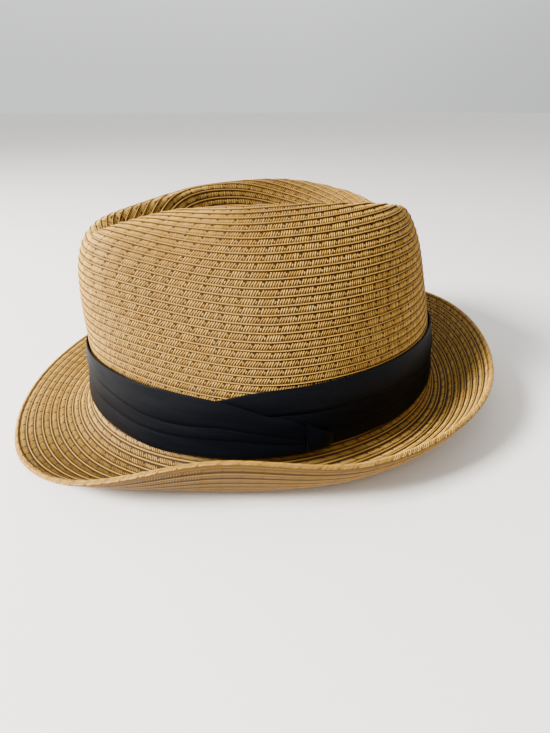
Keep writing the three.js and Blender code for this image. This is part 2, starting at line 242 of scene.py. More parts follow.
def smooth(xs, ys, x):
    """A smooth curve through a table's column, each span a cubic with its neighbours' slopes."""
    xs = np.asarray(xs, float)
    ys = np.asarray(ys, float)
    last = len(xs) - 1
    span = np.clip(np.searchsorted(xs, x, side="left") - 1, 0, last - 1)
    before = np.maximum(np.arange(last + 1) - 1, 0)
    after = np.minimum(np.arange(last + 1) + 1, last)
    slope = (ys[after] - ys[before]) / (xs[after] - xs[before])
    width = xs[span + 1] - xs[span]
    u = (x - xs[span]) / width
    return (
        (2 * u**3 - 3 * u**2 + 1) * ys[span]
        + (u**3 - 2 * u**2 + u) * width * slope[span]
        + (3 * u**2 - 2 * u**3) * ys[span + 1]
        + (u**3 - u**2) * width * slope[span + 1]
    )


def column(table, name, t):
    """A column read along its rows, from 0 at the first row to 1 at the last."""
    rows = np.linspace(0, 1, len(table[name]))
    return smooth(rows, table[name], t)


def wrapped(angle):
    return np.mod(np.asarray(angle, float) + 180, 360) - 180


def brim_column(name, angle):
    turns = np.concatenate([np.asarray(BRIM["angle"]) + turn for turn in (-360, 0, 360)])
    return smooth(turns, np.tile(BRIM[name], 3), wrapped(angle))


def smoothstep(x, low, high):
    u = np.clip((x - low) / (high - low), 0, 1)
    return u * u * (3 - 2 * u)


def hump(x, centre, spread):
    u = np.clip(np.abs((x - centre) / spread), 0, 1)
    return (1 - u * u) ** 2


def outward(angle):
    """The level direction straight out from the head oval."""
    a = np.radians(angle)
    x = np.sin(a) / HEAD_HALF_WIDTH
    y = -np.cos(a) / HEAD_HALF_LENGTH
    size = np.hypot(x, y)
    return np.stack([x / size, y / size, np.zeros_like(size)], -1)


def head_oval(angle):
    a = np.radians(angle)
    x = HEAD_HALF_WIDTH * np.sin(a)
    y = -HEAD_HALF_LENGTH * np.cos(a)
    return np.stack([x, y, np.full_like(x, BREAK_HEIGHT)], -1)


def pinch(angle):
    half = np.abs(wrapped(angle))
    spread = np.where(half > PINCH_ANGLE, PINCH_REAR_SPREAD, PINCH_FRONT_SPREAD)
    depth = PINCH_DEPTH * hump(half, PINCH_ANGLE, spread)
    push = -depth[..., None] * outward(angle)
    push[..., 1] *= PINCH_BACKWARD_SHARE
    return push


def ridge(angle):
    half = wrapped(angle)
    width = np.sign(half) * smooth(RIDGE["angle"], RIDGE["half_width"], np.abs(half))
    along = RIDGE_SHIFT_BACK - RIDGE_HALF_LENGTH * np.cos(np.radians(angle))
    return np.stack([width, along, smooth(RIDGE["angle"], RIDGE["height"], np.abs(half))], -1)


def crown_wall(angle, t):
    """Crown wall: t is 0 at the break line and 1 on the ridge."""
    a = np.radians(angle)
    end = np.where(np.cos(a) > 0, column(WALL, "front", t), column(WALL, "back", t))
    inset = end + (column(WALL, "side", t) - end) * np.sin(a) ** 2
    rise = column(WALL, "rise", t)
    start = head_oval(angle)
    way = ridge(angle) - start
    point = start + way * np.stack([inset, inset, rise], -1)
    share = np.clip((rise - PINCH_LOWEST_RISE) / (1 - PINCH_LOWEST_RISE), 0, 1)
    return point + pinch(angle) * share[..., None]


def crown_dent(angle, t):
    """Inside of the dent: t is 0 on the ridge and 1 on the line along its floor."""
    start = crown_wall(angle, np.ones_like(angle))
    along = RIDGE_SHIFT_BACK - DENT_FLOOR_HALF_LENGTH * np.cos(np.radians(angle))
    floor = np.stack([np.zeros_like(along), along, np.full_like(along, DENT_FLOOR_HEIGHT)], -1)
    inward = column(DENT, "inward", t)
    drop = column(DENT, "drop", t)
    return start + (floor - start) * np.stack([inward, inward, drop], -1)


def crown_surface(angle, t):
    wall = crown_wall(angle, np.clip(t, 0, 1))
    dent = crown_dent(angle, np.clip(t - 1, 0, 1))
    return np.where((t <= 1)[..., None], wall, dent)


def brim_surface(angle, s):
    """Brim: s is 0 at the edge and 1 at the break line."""
    slope = np.radians(brim_column("edge_slope", angle))
    edge = np.stack([brim_column("edge_out", angle), brim_column("edge_height", angle)], -1)
    pull = BRIM_END_PULL * np.stack([np.cos(slope), np.sin(slope)], -1)
    start = np.stack([np.full_like(slope, PIECE_GAP), np.full_like(slope, BREAK_HEIGHT)], -1)
    dip = np.stack([brim_column("dip_out", angle), brim_column("dip_height", angle)], -1)
    u = (1 - s)[..., None]
    section = (
        (1 - u) ** 3 * start
        + 3 * (1 - u) ** 2 * u * dip
        + 3 * (1 - u) * u**2 * (edge - pull)
        + u**3 * edge
    )
    point = head_oval(angle) + outward(angle) * section[..., :1]
    point[..., 2] = section[..., 1]
    return point


def beside_wall(angle, above, off):
    """Points beside the crown wall: so far above the break line, and so far off the wall."""
    low = np.zeros_like(angle)
    high = np.ones_like(angle)
    for _ in range(HEIGHT_HALVINGS):
        middle = (low + high) / 2
        under = crown_wall(angle, middle)[..., 2] < BREAK_HEIGHT + above
        low = np.where(under, middle, low)
        high = np.where(under, high, middle)
    return crown_wall(angle, low) + outward(angle) * off[..., None]


def frame_shift():
    """The way from this form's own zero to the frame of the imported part."""
    low, high = (np.asarray(corner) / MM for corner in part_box("crown"))
    middle = (low + high) / 2
    return np.array([middle[0], middle[1], low[2] - (BREAK_HEIGHT - STRAW_WALL)])


SHIFT = frame_shift()


# --------------------------------------------------------------------------------------------------
# Grids and meshes
# --------------------------------------------------------------------------------------------------


def ring_angles(count):
    return SEAM_ANGLE + np.arange(count) * 360.0 / count


def unit(v):
    return v / np.maximum(np.linalg.norm(v, axis=-1, keepdims=True), 1e-9)


def grid_normals(points, ring):
    """Directions out of a grid whose first axis goes round and whose second goes up."""
    if ring:
        around = np.roll(points, -1, 0) - np.roll(points, 1, 0)
    else:
        around = np.gradient(points, axis=0)
    return unit(np.cross(around, np.gradient(points, axis=1)))


def lengths(points, axis):
    """Length along a grid's lines from their start."""
    steps = np.linalg.norm(np.diff(points, axis=axis), axis=-1)
    zero = np.zeros_like(np.take(steps, [0], axis))
    return np.concatenate([zero, np.cumsum(steps, axis)], axis)


def read_line(line, distance, wanted):
    """Points or directions along a line, read at wanted distances."""
    return np.stack([np.interp(wanted, distance, line[:, k]) for k in range(3)], -1)


def resample(dense, marks, wanted):
    """Each line of a dense grid read at wanted marks, given the mark of each of its points."""
    return np.stack([read_line(line, mark, wanted) for line, mark in zip(dense, marks)])


def skin_faces(columns, rows, ring, first, flipped):
    """Quads of a grid whose first axis goes round and whose second goes up."""
    spans = columns if ring else columns - 1
    i, j = np.meshgrid(np.arange(spans), np.arange(rows - 1), indexing="ij")
    after = (i + 1) % columns
    a, b, c, d = i * rows + j, after * rows + j, after * rows + j + 1, i * rows + j + 1
    order = [a, d, c, b] if flipped else [a, b, c, d]
    return np.stack(order, -1).reshape(-1, 4) + first


def shell_faces(columns, rows, inner_rows, ring, open_top=False):
    """Quads of a closed skin: an outer grid, an inner grid of as many columns, and their rims.
    An open top is left for a line where both halves of the grid meet."""
    other = columns * rows
    faces = [
        skin_faces(columns, rows, ring, 0, False),
        skin_faces(columns, inner_rows, ring, other, True),
    ]
    i = np.arange(columns if ring else columns - 1)
    after = (i + 1) % columns
    outer_low, outer_next = i * rows, after * rows
    inner_low, inner_next = other + i * inner_rows, other + after * inner_rows
    faces.append(np.stack([inner_low, inner_next, outer_next, outer_low], -1))
    if not open_top:
        up, down = rows - 1, inner_rows - 1
        rim = [outer_low + up, outer_next + up, inner_next + down, inner_low + down]
        faces.append(np.stack(rim, -1))
    if not ring:
        j = np.arange(rows - 1)
        k = (columns - 1) * rows + j
        faces.append(np.stack([j + other, j, j + 1, j + 1 + other], -1)[:, ::-1])
        faces.append(np.stack([k, k + other, k + 1 + other, k + 1], -1)[:, ::-1])
    return np.concatenate(faces)


def new_mesh(name, points, faces):
    """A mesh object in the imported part's frame, in metres, from points in millimetres."""
    mesh = bpy.data.meshes.new(name)
    mesh.from_pydata(((points + SHIFT) * MM).tolist(), [], faces.tolist())
    mesh.validate()
    obj = bpy.data.objects.new(name, mesh)
    bpy.context.scene.collection.objects.link(obj)
    return obj


def add_uv(mesh, values):
    """A UV map named UVMap from one value for each vertex."""
    layer = mesh.uv_layers.new(name="UVMap")
    vertex = np.empty(len(mesh.loops), dtype=np.int64)
    mesh.loops.foreach_get("vertex_index", vertex)
    layer.data.foreach_set("uv", values[vertex].astype(np.float32).ravel())


def add_attribute(mesh, name, values):
    """A number or a direction on each vertex, for the node trees and materials to read."""
    kind, key = ("FLOAT_VECTOR", "vector") if np.ndim(values) == 2 else ("FLOAT", "value")
    layer = mesh.attributes.new(name, kind, "POINT")
    layer.data.foreach_set(key, np.asarray(values, np.float32).ravel())


def merge_close(obj, distance):
    """Welds vertices that meet, such as those along the line of the dent's floor."""
    work = bmesh.new()
    work.from_mesh(obj.data)
    bmesh.ops.remove_doubles(work, verts=work.verts, dist=distance)
    bmesh.ops.dissolve_degenerate(work, edges=work.edges, dist=distance / 10)
    work.to_mesh(obj.data)
    work.free()


def shade_smooth(obj):
    obj.data.polygons.foreach_set("use_smooth", [True] * len(obj.data.polygons))
    obj.data.update()


def place(obj, material, node=None):
    """Gives a finished piece its material and says what it rides on and stands for."""
    obj.data.materials.clear()
    obj.data.materials.append(material)
    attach(obj, "root")
    if node:
        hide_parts(node)


# --------------------------------------------------------------------------------------------------
# Nodes and materials
# --------------------------------------------------------------------------------------------------

MATH = "ShaderNodeMath"
MIX = "ShaderNodeMix"
NOISE = "ShaderNodeTexNoise"
NAMED = "GeometryNodeInputNamedAttribute"
SPAN = "ShaderNodeMapRange"

# Sockets of a Mix node that mixes colours.
SHARE, FIRST, SECOND, MIXED = 0, 6, 7, 2


def linear(hex_colour):
    """An sRGB hex colour as linear RGBA."""
    parts = [int(hex_colour[k : k + 2], 16) / 255 for k in (1, 3, 5)]
    flat = [c / 12.92 if c <= 0.04045 else ((c + 0.055) / 1.055) ** 2.4 for c in parts]
    return (*flat, 1.0)


def add_node(tree, kind, inputs=None, **settings):
    """Adds a node, sets its properties, and sets or links its inputs. A node given as an input is
    linked by its first output."""
    node = tree.nodes.new(kind)
    for name, value in settings.items():
        setattr(node, name, value)
    for name, value in (inputs or {}).items():
        if isinstance(value, bpy.types.Node):
            value = value.outputs[0]
        if isinstance(value, bpy.types.NodeSocket):
            tree.links.new(value, node.inputs[name])
        else:
            node.inputs[name].default_value = value
    return node


def new_material(name):
    material = bpy.data.materials.new(name)
    material.use_nodes = True
    tree = material.node_tree
    tree.nodes.clear()
    return material, tree, add_node(tree, "ShaderNodeTexCoord").outputs["Object"]


def finish_material(tree, colour, roughness, specular=0.5, height=None, strength=0.0, depth=0.0):
    """Ends a material in its shader, with the bump of a height where one is given."""
    inputs = {"Base Color": colour, "Roughness": roughness, "Specular IOR Level": specular}
    if height is not None:
        bump = {"Height": height, "Strength": strength, "Distance": depth}
        inputs["Normal"] = add_node(tree, "ShaderNodeBump", bump)
    shader = add_node(tree, "ShaderNodeBsdfPrincipled", inputs)
    add_node(tree, "ShaderNodeOutputMaterial", {"Surface": shader})


def braid_material(straw):
    """Sewn paper-straw braid: matt strands with a faint gloss on their tops, twisted edge cords
    that catch the light, and gaps where the plait opens, darkened with painted shade by height."""
    material, tree, spot = new_material("plaited_straw_braid")
    gap_shade, shade, body, cord = (
        linear(getattr(straw, name))
        for name in ("gap_shade_colour", "shade_colour", "body_colour", "cord_colour")
    )
    uv = add_node(tree, "ShaderNodeUVMap", uv_map="UVMap")
    along, row = add_node(tree, "ShaderNodeSeparateXYZ", {0: uv}).outputs[:2]
    height = add_node(tree, "ShaderNodeAttribute", attribute_name="relief").outputs["Fac"]
    blotches = add_node(tree, NOISE, {"Vector": spot, "Scale": BLOTCH_SCALE, "Detail": 3.0})
    fibres = add_node(tree, NOISE, {"Vector": spot, "Scale": FIBRE_SCALE, "Detail": 2.0})

    # Twist of the edge cord: stripes that lean across it, one for each strand.
    lean = add_node(tree, MATH, {0: row, 1: TWIST_LEAN}, operation="MULTIPLY")
    pitch = {0: along, 1: 1.0 / straw.strand_pitch, 2: lean}
    turns = add_node(tree, MATH, pitch, operation="MULTIPLY_ADD")
    turned = add_node(tree, MATH, {0: turns, 1: 2 * math.pi}, operation="MULTIPLY")
    wave = add_node(tree, MATH, {0: turned}, operation="SINE")
    twist = add_node(tree, MATH, {0: wave, 1: 0.5, 2: 0.5}, operation="MULTIPLY_ADD")

    # Tones by height: painted shade, nearly black in the gaps and brown low in a row; golden on
    # top.
    straw_and_shade_ramp = add_node(tree, "ShaderNodeValToRGB", {0: height})
    stops = straw_and_shade_ramp.color_ramp.elements
    for _ in range(2):
        stops.new(0.5)
    for stop, position, colour in zip(stops, (0.42, 0.62, 0.8, 1.0), (gap_shade, shade, body, cord)):
        stop.position = position
        stop.color = colour

    # Blotches darken at random, the twist's hollows darken more with painted shade, and fibres
    # lighten what stands high.
    blotched = add_node(tree, MATH, {0: blotches, 1: 0.35}, operation="MULTIPLY")
    painted_hollow_shade = add_node(tree, MATH, {0: twist, 1: 0.6}, operation="MULTIPLY")
    steep = add_node(tree, MATH, {0: height, 1: 3.0}, operation="POWER")
    raised = add_node(tree, MATH, {0: steep, 1: 0.3}, operation="MULTIPLY")
    pale = add_node(tree, MATH, {0: fibres, 1: raised}, operation="MULTIPLY")
    colour = straw_and_shade_ramp.outputs[0]
    steps = ((blotched, shade, "MIX"), (painted_hollow_shade, gap_shade, "MULTIPLY"), (pale, cord, "MIX"))
    for share, tone, blend in steps:
        inputs = {SHARE: share, FIRST: colour, SECOND: tone}
        colour = add_node(tree, MIX, inputs, data_type="RGBA", blend_type=blend).outputs[MIXED]

    fuzz = add_node(tree, MATH, {0: fibres, 1: 0.6}, operation="MULTIPLY")
    relief = add_node(tree, MATH, {0: twist, 1: 0.8, 2: fuzz}, operation="MULTIPLY_ADD")
    finish_material(tree, colour, 0.62, 0.15, relief, 0.55, 0.0004)
    return material


def strand_material(straw, darkest, lightest):
    """Flat paper strands of the plait: each one a slightly different straw tone."""
    material, tree, spot = new_material("straw_strand")
    tone = add_node(tree, "ShaderNodeAttribute", attribute_name="tone").outputs["Fac"]
    fibres = add_node(tree, NOISE, {"Vector": spot, "Scale": STRAND_FIBRE_SCALE, "Detail": 2.0})
    faint = add_node(tree, MATH, {0: fibres, 1: 0.35}, operation="MULTIPLY")
    colour = linear(darkest)
    for share, next_tone in ((tone, lightest), (faint, straw.shade_colour)):
        inputs = {SHARE: share, FIRST: colour, SECOND: linear(next_tone)}
        colour = add_node(tree, MIX, inputs, data_type="RGBA").outputs[MIXED]
    finish_material(tree, colour, 0.55, 0.2, fibres, 0.4, 0.0002)
    return material


def satin_material(band):
    """Black polyester satin: smooth, with a soft bluish sheen painted in streaks along the band."""
    material, tree, _ = new_material("black_satin")
    uv = add_node(tree, "ShaderNodeUVMap", uv_map="UVMap")
    stretched = add_node(tree, "ShaderNodeMapping", {"Vector": uv, "Scale": STREAKS})
    streaks = add_node(tree, NOISE, {"Vector": stretched, "Scale": 1.0, "Detail": 4.0})
    # Painted sheen: the streaks mix the near-black satin with its bluish sheen colour.
    inputs = {SHARE: streaks, FIRST: linear(band.unsheened_colour), SECOND: linear(band.colour)}
    colour = add_node(tree, MIX, inputs, data_type="RGBA").outputs[MIXED]
    finish_material(tree, colour, 0.5, 0.06, streaks, 0.25, 0.0005)
    return material


def floor_material(stage):
    """Matt off-white plaster board: even and shadow-catching, with nothing on it."""
    material, tree, spot = new_material("pale_matt_floor")
    cloud = add_node(tree, NOISE, {"Vector": spot, "Scale": FLOOR_CLOUD_SCALE, "Detail": 3.0})
    faint = add_node(tree, MATH, {0: cloud, 1: 0.3}, operation="MULTIPLY")
    inputs = {SHARE: faint, FIRST: linear(stage.floor_colour), SECOND: linear(stage.floor_shade)}
    colour = add_node(tree, MIX, inputs, data_type="RGBA").outputs[MIXED]
    finish_material(tree, colour, 0.9)
    return material


# --------------------------------------------------------------------------------------------------
# Settings
# --------------------------------------------------------------------------------------------------


class HAT_PG_straw(bpy.types.PropertyGroup):
    row_pitch: FloatProperty(
        name="Row pitch",
        description="Showing width of a braid row",
        default=3.75 * MM,
        unit="LENGTH",
    )
    cord_height: FloatProperty(
        name="Cord height", description="Rise of a row's edge cord", default=1.0 * MM, unit="LENGTH"
    )
    strand_pitch: FloatProperty(
        name="Strand pitch",
        description="From strand to strand, a little coarser than real ones so that they show",
        default=1.12 * MM,
        unit="LENGTH",
    )
    strand_length: FloatProperty(
        name="Strand length",
        description="Length of a strand's face",
        default=3.05 * MM,
        unit="LENGTH",
    )
    strand_width: FloatProperty(
        name="Strand width",
        description="Width of a strand's face",
        default=0.52 * MM,
        unit="LENGTH",
    )
    strand_lean: FloatProperty(
        name="Strand lean", description="From its row", default=math.radians(60.0), subtype="ANGLE"
    )
    hole_fill: FloatProperty(
        name="Hole fill",
        description="Length share of a strand at a hole",
        default=0.45,
        subtype="FACTOR",
    )
    around: IntProperty(name="Crown steps", description="Steps round the crown", default=240)
    brim_around: IntProperty(name="Brim steps", description="Steps round the brim", default=320)
    # Painted shade: the gap colour, nearly black, low in each row and in the twist's hollows; the
    # shade colour low in a row, which also tints random blotches and strand fibres.
    gap_shade_colour: StringProperty(name="Gaps", description="Straw deep in the gaps", default="#2C1D08")
    shade_colour: StringProperty(name="Shade", description="Straw low in a row", default="#5C4010")
    body_colour: StringProperty(name="Body", description="Straw on a row's flat", default="#A67A2C")
    cord_colour: StringProperty(name="Cord", description="Straw on edge cords", default="#D4A953")


class HAT_PG_band(bpy.types.PropertyGroup):
    flat_width: FloatProperty(
        name="Cut width", description="Width before pleating", default=0.04, unit="LENGTH"
    )
    flat_length: FloatProperty(
        name="Cut length", description="Length of the strip", default=0.66, unit="LENGTH"
    )
    thickness: FloatProperty(
        name="Thickness",
        description="Thickness of the folded cloth",
        default=0.7 * MM,
        unit="LENGTH",
    )
    pleat_depth: FloatProperty(
        name="Pleat depth",
        description="How far a pleat stands out",
        default=0.75 * MM,
        unit="LENGTH",
    )
    # The satin colour is the painted bluish sheen of the streaks, and the other the satin between
    # them.
    colour: StringProperty(name="Satin", description="Satin on the crests", default="#070A11")
    unsheened_colour: StringProperty(name="Deep satin", description="Satin in folds", default="#020203")


class HAT_PG_stage(bpy.types.PropertyGroup):
    azimuth: FloatProperty(
        name="Azimuth", description="Round the hat", default=math.radians(66.93), subtype="ANGLE"
    )
    elevation: FloatProperty(
        name="Elevation", description="Above level", default=math.radians(29.98), subtype="ANGLE"
    )
    distance: FloatProperty(
        name="Distance", description="Camera to its aim", default=0.2903, unit="LENGTH"
    )
    lens: FloatProperty(name="Lens", description="Focal length", default=21.86, unit="CAMERA")
    bright_sky: FloatProperty(name="Bright sky", description="World before the hat", default=1.45)
    dim_sky: FloatProperty(name="Dim sky", description="World behind the hat", default=0.2)
    floor_colour: StringProperty(name="Floor", description="Floor colour", default="#F4F1EC")
    floor_shade: StringProperty(name="Floor shade", description="Second tone", default="#E6E1DA")


def in_millimetres(group):
    """A group's settings, with its lengths in millimetres and its angles in degrees."""
    values = {}
    for name in type(group).__annotations__:
        value = getattr(group, name)
        rule = group.bl_rna.properties[name]
        if rule.subtype == "ANGLE":
            value = round(math.degrees(value), 4)
        elif rule.unit == "LENGTH":
            value = round(value / MM, 4)
        values[name] = value
    return SimpleNamespace(**values)


# --------------------------------------------------------------------------------------------------
# Braid
# --------------------------------------------------------------------------------------------------


def new_group(name, sockets):
    """A geometry node tree that takes a mesh and named inputs, and its input node."""
    tree = bpy.data.node_groups.new(name, "GeometryNodeTree")
    sockets = {"Geometry": "Geometry", **sockets}
    for label, kind in sockets.items():
        tree.interface.new_socket(label, in_out="INPUT", socket_type="NodeSocket" + kind)
    tree.interface.new_socket("Geometry", in_out="OUTPUT", socket_type="NodeSocketGeometry")
    return tree, add_node(tree, "NodeGroupInput").outputs


def finish_group(tree, shape, material):
    """Ends a geometry node tree: real geometry, with its material."""
    whole = add_node(tree, "GeometryNodeRealizeInstances", {0: shape})
    painted = {"Geometry": whole, "Material": material}
    add_node(tree, "NodeGroupOutput", {0: add_node(tree, "GeometryNodeSetMaterial", painted)})
    return tree


def relief_tree():
    """Node tree that lifts a plain shell into rows: each point moves along its out direction."""
    sockets = {"Cord height": "Float", "Waviness": "Float", "Material": "Material"}
    tree, given = new_group("braid_relief", sockets)
    relief = add_node(tree, NAMED, {"Name": "relief"}, data_type="FLOAT")
    lift = add_node(tree, NAMED, {"Name": "lift"}, data_type="FLOAT")
    out = add_node(tree, NAMED, {"Name": "out"}, data_type="FLOAT_VECTOR")
    noise = add_node(tree, NOISE, {"Scale": WAVER_SCALE, "Detail": 1.0})
    centred = add_node(tree, MATH, {0: noise, 1: 0.5}, operation="SUBTRACT")
    uneven = add_node(tree, MATH, {0: centred, 1: given["Waviness"]}, operation="MULTIPLY")
    height = add_node(tree, MATH, {0: relief, 1: given["Cord height"]}, operation="MULTIPLY")
    total = add_node(tree, MATH, {0: height, 1: uneven}, operation="ADD")
    raised = add_node(tree, MATH, {0: total, 1: lift}, operation="MULTIPLY")
    metres = add_node(tree, MATH, {0: raised, 1: MM}, operation="MULTIPLY")
    offset = add_node(tree, "ShaderNodeVectorMath", {0: out, "Scale": metres}, operation="SCALE")
    moved = {"Geometry": given["Geometry"], "Offset": offset}
    shape = add_node(tree, "GeometryNodeSetPosition", moved)
    return finish_group(tree, shape, given["Material"])


def strand_tree():
    """Node tree that lays one leaning strand at each point of a cloud, in its own straw tone."""
    sockets = {"Strand": "Object", "Lean": "Float", "Unevenness": "Float", "Seed": "Int"}
    tree, given = new_group("braid_strands", {**sockets, "Material": "Material"})
    out = add_node(tree, NAMED, {"Name": "out"}, data_type="FLOAT_VECTOR")
    along = add_node(tree, NAMED, {"Name": "along"}, data_type="FLOAT_VECTOR")
    fill = add_node(tree, NAMED, {"Name": "fill"}, data_type="FLOAT")

    # Each strand stands out of the surface, lies along its row, and then leans.
    align = "FunctionNodeAlignRotationToVector"
    upright = add_node(tree, align, {"Vector": out}, axis="Z")
    aligned = {"Rotation": upright, "Vector": along}
    aligned = add_node(tree, align, aligned, axis="X", pivot_axis="Z")
    most = given["Unevenness"]
    least = add_node(tree, MATH, {0: most, 1: -1.0}, operation="MULTIPLY")
    stray = {2: least, 3: most, "Seed": given["Seed"]}
    stray = add_node(tree, "FunctionNodeRandomValue", stray, data_type="FLOAT").outputs[1]
    degrees = add_node(tree, MATH, {0: given["Lean"], 1: stray}, operation="ADD")
    lean = add_node(tree, MATH, {0: degrees}, operation="RADIANS")
    tilt = {"Axis": (0.0, 0.0, 1.0), "Angle": lean}
    tilt = add_node(tree, "FunctionNodeAxisAngleToRotation", tilt)
    turned = {"Rotation": aligned, "Rotate By": tilt}
    turned = add_node(tree, "FunctionNodeRotateRotation", turned, rotation_space="LOCAL")

    copies = {
        "Points": given["Geometry"],
        "Instance": add_node(
            tree, "GeometryNodeObjectInfo", {"Object": given["Strand"]}
        ).outputs["Geometry"],
        "Rotation": turned,
        "Scale": add_node(tree, "ShaderNodeCombineXYZ", {0: fill, 1: 1.0, 2: 1.0}),
    }
    copies = add_node(tree, "GeometryNodeInstanceOnPoints", copies)
    tone = {"Seed": given["Seed"]}
    tone = add_node(tree, "FunctionNodeRandomValue", tone, data_type="FLOAT").outputs[1]
    store = "GeometryNodeStoreNamedAttribute"
    toned = {"Geometry": copies, "Name": "tone", "Value": tone}
    toned = add_node(tree, store, toned, data_type="FLOAT", domain="INSTANCE")
    return finish_group(tree, toned, given["Material"])


def run_tree(obj, tree, values):
    """Runs a node tree on an object and keeps the result as its plain mesh."""
    modifier = obj.modifiers.new(tree.name, "NODES")
    modifier.node_group = tree
    for socket in tree.interface.items_tree:
        if socket.in_out == "INPUT" and socket.name in values:
            modifier[socket.identifier] = values[socket.name]
    depsgraph = bpy.context.evaluated_depsgraph_get()
    result = bpy.data.meshes.new_from_object(obj.evaluated_get(depsgraph))
    if len(result.vertices) == 0:
        raise RuntimeError(f"{obj.name}: the node tree made nothing")
    obj.modifiers.remove(modifier)
    bpy.data.node_groups.remove(tree)
    old = obj.data
    obj.data = result
    bpy.data.meshes.remove(old)
    result.name = obj.name


def row_marks(count, last_height, inverted=False, plain=()):
    """Row coordinates of a braid's samples, each one's profile height and its row. A plain row gets
    a single sample."""
    across = np.array(ROW_PROFILE["across"])
    height = np.array(ROW_PROFILE["height"])
    if inverted:
        across, height = 1 - across[::-1], height[::-1]
    samples = []
    for row in range(count):
        kept = slice(-1 if row in plain else 0, None)
        samples += [(row + a, h, row) for a, h in zip(across[kept], height[kept])]
    samples.append((count, last_height, count - 1))
    return np.array(samples).T


def crown_lines(count):
    """Dense lines of the crown from the break line to the dent's floor, with row coordinates."""
    dent = np.linspace(1, 2, DENT_STEPS + 1)[1:]
    shares = np.concatenate([np.linspace(0, 1, WALL_STEPS), dent])
    a, t = np.meshgrid(ring_angles(count), shares, indexing="ij")
    points = crown_surface(a, t)
    length = lengths(points, 1)
    lag = FRONT_ROW_LAG * smoothstep(np.cos(np.radians(a)), *FRONT_REACH)
    length = length - lag * smoothstep(length, 0.0, BAND_HEIGHT)
    on_ridge = length[:, WALL_STEPS - 1 : WALL_STEPS]
    whole = length[:, -1:]
    total = whole.mean()
    beyond = (length - on_ridge) / (whole - on_ridge)
    evened = on_ridge + (total - on_ridge) * beyond
    length[:, WALL_STEPS:] = evened[:, WALL_STEPS:]
    return points, length, total


def row_arc(points, rows):
    """Distance along each row's middle line, the same for all its samples."""
    whole = lengths(np.concatenate([points, points[:1]]), 0)[:-1]
    arc = np.empty(points.shape[:2])
    for row in np.unique(rows):
        members = np.flatnonzero(rows == row)
        middle = members[len(members) // 2]
        arc[:, members] = whole[:, middle : middle + 1]
    return arc


def pairs(arc, marks):
    return np.stack([arc, np.broadcast_to(marks, arc.shape)], -1).reshape(-1, 2)


def strand_points(points, normals, marks, targets, straw, lift):
    """One point for each strand, evenly spaced along the rows whose samples are at the targets."""
    clouds = []
    for number, target in enumerate(targets):
        at = np.argmin(np.abs(marks - target))
        line = np.concatenate([points[:, at], points[:1, at]])
        normal = np.concatenate([normals[:, at], normals[:1, at]])
        distance = lengths(line[:, None], 0)[:, 0]
        count = int(distance[-1] / straw.strand_pitch)
        if count < LEAST_STRANDS:
            continue
        step = np.arange(count)
        stagger = ROW_STAGGER * (number % 3)
        wanted = (step + stagger) * distance[-1] / count % distance[-1]
        where = read_line(line, distance, wanted)
        out = unit(read_line(normal, distance, wanted))
        ahead = read_line(line, distance, (wanted + straw.strand_pitch) % distance[-1])
        hole = (step + HOLE_STAGGER * (number % 2)) % HOLE_EVERY == 0
        fill = np.where(hole, straw.hole_fill, 1.0)
        clouds.append((where + out * lift, out, unit(ahead - where), fill))
    return tuple(np.concatenate(values) for values in zip(*clouds))


def strand_template(straw):
    """One strand's face: a narrow strip, rounded across and dipping at both ends."""
    x = np.linspace(-0.5, 0.5, STRAND_STEPS[0] + 1) * straw.strand_length
    y = np.linspace(-0.5, 0.5, STRAND_STEPS[1] + 1) * straw.strand_width
    gx, gy = np.meshgrid(x, y, indexing="ij")
    rise = (1 - (2 * gx / straw.strand_length) ** 4) * (1 - (2 * gy / straw.strand_width) ** 2)
    points = np.stack([gx, gy, STRAND_CROWN * rise - STRAND_SINK], -1).reshape(-1, 3)
    faces = skin_faces(len(x), len(y), False, 0, False)
    mesh = bpy.data.meshes.new("strand_template")
    mesh.from_pydata((points * MM).tolist(), [], faces.tolist())
    obj = bpy.data.objects.new("strand_template", mesh)
    bpy.context.scene.collection.objects.link(obj)
    return obj


def lay_strands(name, cloud, straw, lean, seed, material):
    """Makes the strands at the points of a cloud, as one piece."""
    obj = new_mesh(name, cloud[0], np.empty((0, 4), int))
    for attribute, values in zip(("out", "along", "fill"), cloud[1:]):
        add_attribute(obj.data, attribute, values)
    template = strand_template(straw)
    values = {"Strand": template, "Lean": lean, "Unevenness": STRAND_STRAY}
    run_tree(obj, strand_tree(), {**values, "Seed": seed, "Material": material})
    strand_mesh = template.data
    bpy.data.objects.remove(template)
    bpy.data.meshes.remove(strand_mesh)
    shade_smooth(obj)
    place(obj, material)


def braid_shell(name, outer, inner, values, uvs, straw, open_top, node):
    """Makes a closed braid shell and lifts its rows by the values on its vertices."""
    points = np.concatenate([outer.reshape(-1, 3), inner.reshape(-1, 3)])
    faces = shell_faces(outer.shape[0], outer.shape[1], inner.shape[1], True, open_top)
    obj = new_mesh(name, points, faces)
    for attribute, parts in values.items():
        add_attribute(obj.data, attribute, np.concatenate(parts))
    add_uv(obj.data, uvs)
    material = braid_material(straw)
    inputs = {"Cord height": straw.cord_height, "Waviness": WAVINESS, "Material": material}
    run_tree(obj, relief_tree(), inputs)
    merge_close(obj, WELD_DISTANCE * MM)
    shade_smooth(obj)
    place(obj, material, node)


def spread(values, shape):
    """The same values for each line of a grid, as one for each vertex."""
    return np.broadcast_to(values, shape).ravel()


def sunk_grid(points, length, marks, depth):
    """The crown's grid at the given marks, sunk below its surface, with its directions out."""
    grid = resample(points, length, marks)
    normals = grid_normals(grid, True)
    normals[:, -1] = (0, 0, 1)
    sunk = grid - normals * depth
    sunk[:, -1, 0] = 0
    return sunk, normals


